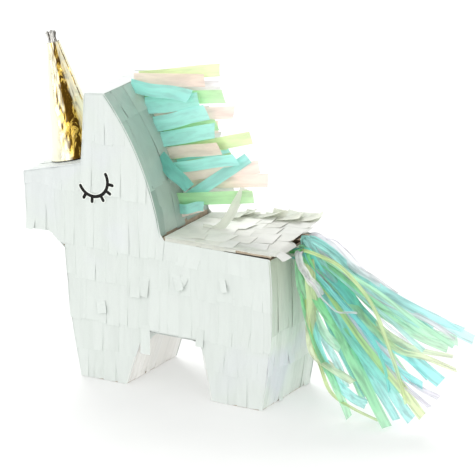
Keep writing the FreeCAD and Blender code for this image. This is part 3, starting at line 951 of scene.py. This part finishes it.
def mane():
    """The strips ride the shell, each colour in a lower and an upper piece split at the height MANE_SPLIT."""
    foot, bend, top = HINGE.z + 3 * MM, MANE_SPLIT * MM, panel_high.z - 2 * MM
    for colour, strips in MANE.items():
        node = "mane_%s_comb" % colour
        roll = dice(node)
        sheets = {"low": Sheet(), "high": Sheet()}
        for height, root_y, tip_y, length, rise, width, crease in strips:
            root = neck_root(height * MM) + Vector((-0.6, root_y, 0)) * MM
            angle = math.radians(rise)
            tip = root + Vector((math.cos(angle), 0, math.sin(angle))) * length * MM
            tip.y = tip_y * MM
            bow = Vector((0, roll.uniform(-0.8, 0.8), roll.uniform(-0.3, 0.5))) * MM
            points = (root, root.lerp(tip, 0.35) + bow, root.lerp(tip, 0.7) - bow * 0.6, tip)
            facing = Vector((roll.uniform(-0.15, 0.15), -1.0, roll.uniform(-0.1, 0.25))).normalized()
            sheet = sheets["low" if height < MANE_SPLIT else "high"]
            # Painted shade: a strip that folds down gets the darkest tone; the others keep most of their colour.
            shade = 0.0 if rise < 0 else roll.uniform(0.7, 1.0)
            ribbon(sheet, curve_through(points, 18), width * MM, facing, roll, shade,
                   twist=roll.uniform(-0.3, 0.3), flutter=0.08, crease=crease * MM)
        for part, start, end, keep in (("low", foot, bend, 0.04), ("high", bend, top, 0.07)):
            piece = sheets[part].make("%s_%s_tissue" % (node, part), MANE_PAPER[colour], 0.13 * MM)
            put(piece, "shell", colour + "_paper", *([node] if part == "low" else []))
            low_neck = neck_root(start)
            up = (neck_root(end) - low_neck).normalized()
            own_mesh(piece)


# The tail's outer ribbons, in mm: colour, width, flat side's turn, and places after the root.
TAIL_RIBBONS = [
    ("turquoise", 4.5, 0.3, [(60, 2, 77.5), (70, 2, 74), (82, 2, 66), (95, 2, 60.8), (110, 2, 54.8),
     (128, 2, 49), (144, 2, 44)]),
    ("turquoise", 3.5, 0.5, [(60, 5, 76.5), (73, 4, 71), (85, 4, 64.5), (102, 4, 57), (120, 4, 51),
     (138, 4, 47)]),
    ("turquoise", 4.2, 0.4, [(59.5, 7.5, 75.5), (68, 6, 72), (82, 5, 62.5), (100, 4, 53.5), (122, 3, 45)]),
    ("turquoise", 3.5, 0.2, [(59.5, 9.5, 73.5), (66, 8, 70.5), (80, 6, 61), (98, 5, 51), (116, 4, 42)]),
    ("white", 3.4, 0.4, [(59, 6, 78.5), (68, 5, 76), (80, 4, 69), (92, 3, 63.5), (104, 3, 58.5)]),
    ("turquoise", 4.0, 0.0, [(58, 0, 78.5), (64, -2, 74), (72, -4, 66), (86, -5, 52), (100, -5, 40)]),
    ("white", 2.8, 0.3, [(61, 0, 75), (72, 0, 70), (84, 0, 63), (98, 0, 56.5), (118, 0, 51),
     (136, 0, 44.5)]),
    ("turquoise", 3.1, 0.1, [(60, 0, 77), (70, 0, 73), (82, 0, 65), (100, 0, 55), (118, 0, 47)]),
    ("white", 0.8, 0.8, [(59, 6, 77), (68, 6, 78), (75, 6, 75), (84, 6, 68), (96, 6, 60)]),
    ("yellow", 1.8, -0.2, [(61, -6, 75), (74, -9, 74), (84, -9, 70), (97, -9, 57), (105, -9, 41),
     (112, -9, 25), (116, -9, 12)]),
    ("green", 5.0, 0.1, [(60, -7.5, 71), (62.5, -11.5, 62), (65, -12, 55), (70, -12, 47), (75, -12, 40),
     (83, -11, 33)]),
    ("white", 4.0, 0.5, [(59.5, -8, 74), (63, -12, 70), (67, -13, 66), (70, -13, 62), (74, -13, 57)]),
    ("white", 1.0, 0.9, [(66, -13, 66), (71, -13, 61), (75, -13, 56), (79, -13, 53), (84, -13, 51),
     (92, -12, 52)]),
    ("yellow", 5.0, 0.2, [(64, -7, 71), (67.5, -11.5, 63), (69, -12.5, 54), (68.8, -13, 43),
     (69.5, -13, 34), (72, -13, 28),
     (80, -13, 24), (91, -13, 19)]),
    ("green", 6.8, 0.0, [(61, -8, 73), (66.5, -10.5, 65), (73, -11, 54), (79, -11, 46), (85, -11, 38),
     (90, -12, 29), (98, -14, 19),
                         (110, -16, 2)]),
    ("turquoise", 6.1, 0.2, [(62, -6, 74), (67, -7, 68), (73, -7, 61), (81, -7, 53), (88, -7, 45),
     (95, -7, 37), (102, -7, 31),
                             (111, -7, 26), (123, -7, 21)]),
    ("turquoise", 5.0, -0.2, [(62, -7, 72), (73, -9, 59), (82, -9, 47), (88, -9, 36), (94, -9, 26),
     (100, -9, 18), (111, -9, 3)]),
    ("green", 4.0, 0.2, [(62, -4, 73), (72, -5, 65), (82, -5, 56), (90, -5, 49), (98, -5, 42),
     (107, -5, 36)]),
    ("green", 5.4, 0.3, [(63, -2, 73), (79, -2, 64), (94, -2, 54), (106, -2, 47), (118, -2, 42),
     (133, -2, 39)]),
    ("green", 4.5, 0.5, [(64, 0, 73), (80, 0, 63), (94, 0, 55), (108, 0, 50), (121, 0, 45), (137, 0, 43)]),
    ("yellow", 4.2, 0.4, [(64, -3, 71), (79, -3, 60), (92, -3, 48), (105, -3, 40), (115, -3, 37),
     (136, -3, 36)]),
    ("yellow", 2.8, 0.1, [(65, -5, 70), (83, -5, 55), (97, -5, 43), (109, -5, 36), (122, -5, 34),
     (139, -5, 31)]),
    ("turquoise", 5.7, 0.3, [(65, -4, 71), (80, -4, 60), (93, -4, 46), (104, -4, 37), (114, -4, 33),
     (131, -4, 24)]),
    ("white", 3.1, 0.3, [(65, -5, 70), (83, -6, 52), (99, -6, 37), (114, -6, 25), (122, -6, 19),
     (131, -6, 16)]),
    ("white", 2.2, 0.6, [(66, -6, 69), (84, -7, 50), (100, -7, 33), (114, -7, 20), (127, -7, 12)]),
    ("yellow", 4.2, 0.4, [(66, -7, 68), (85, -8, 47), (101, -8, 29), (114, -8, 18), (124, -8, 7)]),
    ("turquoise", 5.4, 0.1, [(66, -8, 67), (83, -9, 44), (97, -9, 28), (110, -9, 15), (119, -9, 5)]),
    ("green", 3.3, 0.6, [(63, -10, 62), (66, -13, 50), (72, -13, 33), (80, -13, 18), (84, -13, 11),
     (89, -13, 1.2)]),
    ("yellow", 1.7, 0.3, [(63, -10, 60), (67, -13, 48), (70, -13, 34), (74, -13, 23), (79, -13, 12),
     (90, -13, 7), (104, -13, 3)]),
    ("turquoise", 4.7, 0.4, [(63, -10, 62), (68, -12, 46), (74, -12, 28), (82, -12, 16), (89, -12, 12),
     (97, -12, 9)]),
    ("turquoise", 3.3, 0.1, [(62, -9, 66), (68, -11, 50), (74, -11, 37), (80, -11, 28), (86, -11, 15)]),
    ("turquoise", 2.0, 0.7, [(61, -7, 74), (66, -9, 68), (76, -9, 60), (86, -8, 50), (97, -8, 40),
     (104, -9, 30), (108, -10, 16)]),
]
TAIL_FOOT = 60                            # mm along x, where the ribbons leave the rump
TAIL_GATHER = 3.2                         # mm to either side of the middle that they start within
TAIL_FLOOR = 1.0                          # mm that they keep above the floor

# How many ribbons lie behind them, and the colours they are picked from, low down and high up.
TAIL_FILL = 20
FILL_LOW = ("turquoise", "green", "turquoise", "green", "turquoise")
FILL_HIGH = ("turquoise", "white", "green", "white")


def tail_fill(roll):
    """The ribbons behind the listed ones, in the same form as the list."""
    drawn = []
    for i in range(TAIL_FILL):
        rank = (i + roll.uniform(0.0, 0.9)) / TAIL_FILL
        across = 12 - 19 * roll.random()
        x = 88 + 54 * rank - 0.58 * across
        tip = Vector((x, across, max(1.2, (x - 109) * 1.35 + roll.uniform(-2.0, 3.0)))) * MM
        start = Vector((TAIL_FOOT, tip.y / MM * 0.5, 68 + 8 * rank)) * MM
        middle = start.lerp(tip, 0.5) + Vector((-5 * (1 - rank), roll.uniform(-2, 2), 6 - 5 * rank)) * MM
        tip = start.lerp(tip, roll.uniform(0.74, 0.98))
        tip.z = max(tip.z, 1.5 * MM)
        colour = roll.choice(FILL_HIGH if rank > 0.62 else FILL_LOW)
        drawn.append((colour, roll.uniform(1.6, 4.6 - 1.6 * rank), roll.uniform(-0.4, 0.8),
                      [p / MM for p in (start, middle, tip)]))
    return drawn


def tail():
    """The ribbons fan out from the notch in the rump: the listed outer ones, and more behind them."""
    sheets = {c: Sheet() for c in TAIL_COLOURS}
    roll = dice("tail")
    pieces = 40
    for colour, width, turn, places in TAIL_RIBBONS + tail_fill(roll):
        gathered = max(-TAIL_GATHER, min(TAIL_GATHER, places[0][1] * 0.4))
        root = SWAY + Vector((-1.0, gathered, roll.uniform(-1.2, 1.2))) * MM
        neck = Vector((LIFT.x - 0.5 * MM, root.y * 1.05, root.z))
        run = curve_through([root, neck] + [Vector(p) * MM for p in places], pieces)
        shift = roll.uniform(0, 50)
        for k, place in enumerate(run):
            loose = smooth(0.25, 0.8, k / pieces) * 1.1 * MM
            place.y += loose * noise.noise(Vector((shift, k * 0.13, 0.0)))
            place.z = max(place.z + loose * noise.noise(Vector((shift, 9.0, k * 0.15))), TAIL_FLOOR * MM)
        facing = Vector((0.45, -1.0, 0.55 + turn)).normalized()
        # Tones by height: ribbons that end high get lighter ones, painted light against the lid's shade; the low
        # ones get darker ones.
        high = smooth(0.2, 0.6, places[-1][2] / (places[-1][0] - TAIL_FOOT))
        shade = roll.uniform(0.7 * high, 0.6 + 0.4 * high)
        ribbon(sheets[colour], run, width * MM, facing, roll, shade, twist=roll.uniform(-0.9, 0.9),
               flutter=0.25 if width > 3 else 0.7, waist=0.45)
    for colour, sheet in sheets.items():
        node = "tail_%s_ribbons" % colour
        piece = sheet.make(node + "_paper", TAIL_PAPER[colour], 0.09 * MM)
        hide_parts(node)
        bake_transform(piece)


def tail_wraps():
    """Gathered tissue round the ribbons' roots: one wrap in the notch, one behind the bend."""
    for node, body, pleats in (("tail_binding", "tail_root", 15), ("tail_roll", "tail", 13)):
        low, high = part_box(node)
        centre, half = (low + high) / 2, (high - low) / 2

        def place(t, turn):
            closed = smooth(0.0, 0.1, t) * smooth(1.0, 0.9, t)
            fold = 0.09 * math.sin(pleats * turn + 1.5 * math.sin(3 * t)) + 0.05 * math.sin(7 * t + 3 * turn)
            size = (0.25 + 0.75 * closed) * (1 + fold)
            return centre + Vector((half.x * (2 * t - 1), half.y * math.cos(turn) * size,
                                    half.z * math.sin(turn) * size))

        # The wraps take the rump's painted light.
        put(tube(node + "_wrap", RUMP_PAINTED_LIGHT, 0.1 * MM, 14, 90, place), body, "ribbon_tie", node)


# ---- horn
def ring_centre(spots):
    """Middle of a tilted ring of points, from its extent along each axis."""
    return Vector([(min(p[k] for p in spots) + max(p[k] for p in spots)) / 2 for k in range(3)])


def horn_line():
    """Foot, direction, length and the two end radii of the foil, from its flat base and its rings."""
    mesh = frame["nodes"]["horn_foil"].data
    base_face = min(mesh.polygons, key=lambda face: face.normal.z)
    up = -base_face.normal
    spots = [v.co for v in mesh.vertices]
    low = min(p.dot(up) for p in spots)
    high = max(p.dot(up) for p in spots)
    base_ring = [p for p in spots if p.dot(up) < low + MM / 20]
    end_ring = [p for p in spots if p.dot(up) > high - MM / 20]
    foot, end = ring_centre(base_ring), ring_centre(end_ring)
    return (foot, up.copy(), high - low, max((p - foot).length for p in base_ring),
            max((p - end).length for p in end_ring))


def tube(name, material, thickness, rings, around, place):
    """A closed run of rings; place(ring share, turn) gives a point of its skin."""
    points = [place(r / rings, 2 * math.pi * k / around) for r in range(rings + 1) for k in range(around)]
    faces = []
    for r in range(rings):
        for k in range(around):
            i, j = r * around + k, r * around + (k + 1) % around
            faces.append((i, j, j + around, i + around))
    return thickened(new_piece(name, points, faces, material), thickness, -1)


def horn():
    """Gold foil rolled round the cone, and the wrapping's end pinched flat past the top of the cone."""
    foot, up, reach, radius, top_radius = horn_line()
    side = Vector((0, 1, 0))
    front = up.cross(side)
    start = foot + up * (reach - 3.0 * MM)
    wide_at = top_radius + 0.5 * MM

    def wrap(t, turn):
        """Long soft folds, and a lapped seam down one side."""
        base = radius + (top_radius - radius) * t
        folds = noise.noise(Vector((math.cos(turn) * 2.4, math.sin(turn) * 2.4, t * 2.0)))
        crush = noise.noise(Vector((math.cos(turn) * 6, math.sin(turn) * 6, t * 16.0)))
        lap = 0.35 * MM * smooth(0.5, 0.0, (turn / (2 * math.pi) + 0.22 + 0.05 * t) % 1.0)
        flare = 0.4 * MM * smooth(0.08, 0.0, t)
        size = base + (0.45 + 0.45 * folds + 0.18 * crush) * MM * (1 - 0.5 * t) + lap + flare
        return foot + up * reach * t + (side * math.cos(turn) + front * math.sin(turn)) * size

    def crimp(t, turn):
        """Pleats that spread a little at the very end."""
        pleat = 1 + 0.17 * math.sin(9 * turn + 2 * t) * smooth(0.0, 0.6, t)
        wide = (wide_at - 1.3 * MM * smooth(0.0, 0.55, t) + 0.6 * MM * smooth(0.6, 1.0, t)) * pleat
        flat = (wide_at - 1.5 * MM * smooth(0.0, 0.7, t)) * pleat
        rise = 8.0 * MM * t + 0.6 * MM * math.sin(5 * turn) * t
        return start + up * rise + side * math.cos(turn) * flat + front * math.sin(turn) * wide

    put(tube("horn_foil_wrap", GOLD, 0.12 * MM, 80, 144, wrap), "shell", "gold_foil", "horn_foil")
    put(tube("horn_tip_crimp", SILVER, 0.12 * MM, 14, 72, crimp), "shell", "silver_foil", "horn_tip")


# ---- eyes
def stroke(points, half):
    """Closed outline of a pen stroke with round ends, through points in a plane."""
    left, right, steps = [], [], 10
    for i, point in enumerate(points):
        along = (points[min(len(points) - 1, i + 1)] - points[max(0, i - 1)]).normalized()
        across = Vector((-along.y, along.x)) * half
        left.append(point + across)
        right.append(point - across)

    def cap(centre, start):
        return [centre + Matrix.Rotation(-math.pi * k / steps, 2) @ (start - centre) for k in range(1, steps)]

    return left + cap(points[-1], left[-1]) + right[::-1] + cap(points[0], right[0])


def plate(shapes, side, low, high, name, material):
    """Flat shapes standing off the cheek between two heights, as closed solids."""
    points, faces = [], []
    for index, shape in enumerate(shapes):
        start, count = len(points), len(shape)
        lift = 0.012 * MM * index
        for level in (low, high + lift):
            points += [(p.x, side * (CARD_Y + level), p.y) for p in shape]
        faces.append(tuple(range(start, start + count)))
        faces.append(tuple(reversed(range(start + count, start + 2 * count))))
        for k in range(count):
            i, j = start + k, start + (k + 1) % count
            faces.append((i, i + count, j + count, j))
    return new_piece(name, points, faces, material, soft=False)


def eyes():
    """A closed eye: a half ring with five short lashes, printed on cream film."""
    low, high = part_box("left_eye_sticker")
    wide, tall = high.x - low.x, high.z - low.z
    radius, reach, line = 0.42 * wide, 0.56 * wide, 0.042 * wide
    centre = Vector((low.x + 0.41 * wide, low.z + 0.72 * tall))

    def on_ring(degrees, distance):
        angle = math.radians(degrees)
        return centre + Vector((math.cos(angle), math.sin(angle))) * distance

    strokes = [[on_ring(207 + 183 * k / 30, radius) for k in range(31)]]
    strokes += [[on_ring(angle, radius), on_ring(angle, reach)] for angle in (240, 266, 301, 330, 355)]
    for side, label in ((-1, "left"), (1, "right")):
        film = plate([stroke(s, line + 0.5 * MM) for s in strokes], side, 0.55 * MM, 0.80 * MM,
                     label + "_eye_film", CREAM)
        put(film, "shell", "black_vinyl", label + "_eye_sticker")
        lashes = plate([stroke(s, line) for s in strokes], side, 0.78 * MM, 0.88 * MM,
                       label + "_eye_lashes", BLACK)
        put(lashes, "shell", "black_vinyl")


# ---- card and tapes from the frame
def dress_frame():
    """The card and tape keep their own shapes and get finished materials."""
    finish = {"card": CARD, "horn_card": CARD, "gummed_tape": TAPE, "ribbon_tie": WHITE}
    for subpart in frame["record"]["subparts"]:
        if subpart["material_slot"] in finish:
            materials = frame["nodes"][subpart["node"]].data.materials
            materials.clear()
            materials.append(finish[subpart["material_slot"]])


# ---- stage
def floor_material():
    """A pale light table: part of its brightness is its own, so that shadows on it stay faint."""
    material, tree = start_material("studio_floor")
    grain = pattern(tree, object_place(tree), 30.0, 2.0, 0.5)
    colour = ramp(tree, grain, [(0.3, (0.495, 0.50, 0.495)), (0.7, (0.51, 0.515, 0.51))])
    surface = principled(tree, colour, Roughness=0.7, Emission_Color=(1.0, 1.0, 0.985, 1.0),
                         Emission_Strength=0.372)
    return finished(material, tree, surface)


def aimed(name, data, place, onward):
    """A light or camera at a place, looking a given way."""
    thing = new_object(name, data)
    thing.location = place
    thing.rotation_euler = onward.to_track_quat("-Z", "Y").to_euler()
    return thing


# The lights: name, place in metres, power in watts and width in metres.
LIGHTS = [("key", (-0.75, 0.8, 1.25), 15.0, 0.8), ("front", (-0.5, -1.4, 0.7), 6.2, 1.2),
          ("side", (1.3, -0.9, 0.25), 6.5, 0.9)]


def stage():
    size = 4.0
    corners = [(-size, -size, 0), (size, -size, 0), (size, size, 0), (-size, size, 0)]
    new_piece("floor", corners, [(0, 1, 2, 3)], floor_material(), soft=False)

    world = bpy.data.worlds.new("studio")
    world.use_nodes = True
    sky = world.node_tree.nodes["Background"].inputs
    sky["Color"].default_value = (1.0, 1.0, 1.0, 1.0)
    sky["Strength"].default_value = 0.945
    bpy.context.scene.world = world
    bpy.context.scene.view_settings.view_transform = "Standard"

    centre = Vector((0.02, 0, 0.07))
    for name, place, power, wide in LIGHTS:
        lamp = bpy.data.lights.new(name, "AREA")
        lamp.energy = power
        lamp.size = wide
        aimed(name, lamp, place, centre - Vector(place))


def camera():
    azimuth, elevation, distance = math.radians(30.0), math.radians(18.0), 2.0
    back = Vector((math.sin(azimuth) * math.cos(elevation), -math.cos(azimuth) * math.cos(elevation),
                   math.sin(elevation)))
    target = Vector((22.8, 0.0, 73.2)) * MM
    lens = bpy.data.cameras.new("camera")
    lens.lens = 330.0
    lens.clip_start = 0.01
    bpy.context.scene.camera = aimed("camera", lens, target + back * distance, -back)


white_paper()
loose_strips()
lid_paper()
mane()
tail()
tail_wraps()
horn()
eyes()
dress_frame()
stage()
camera()
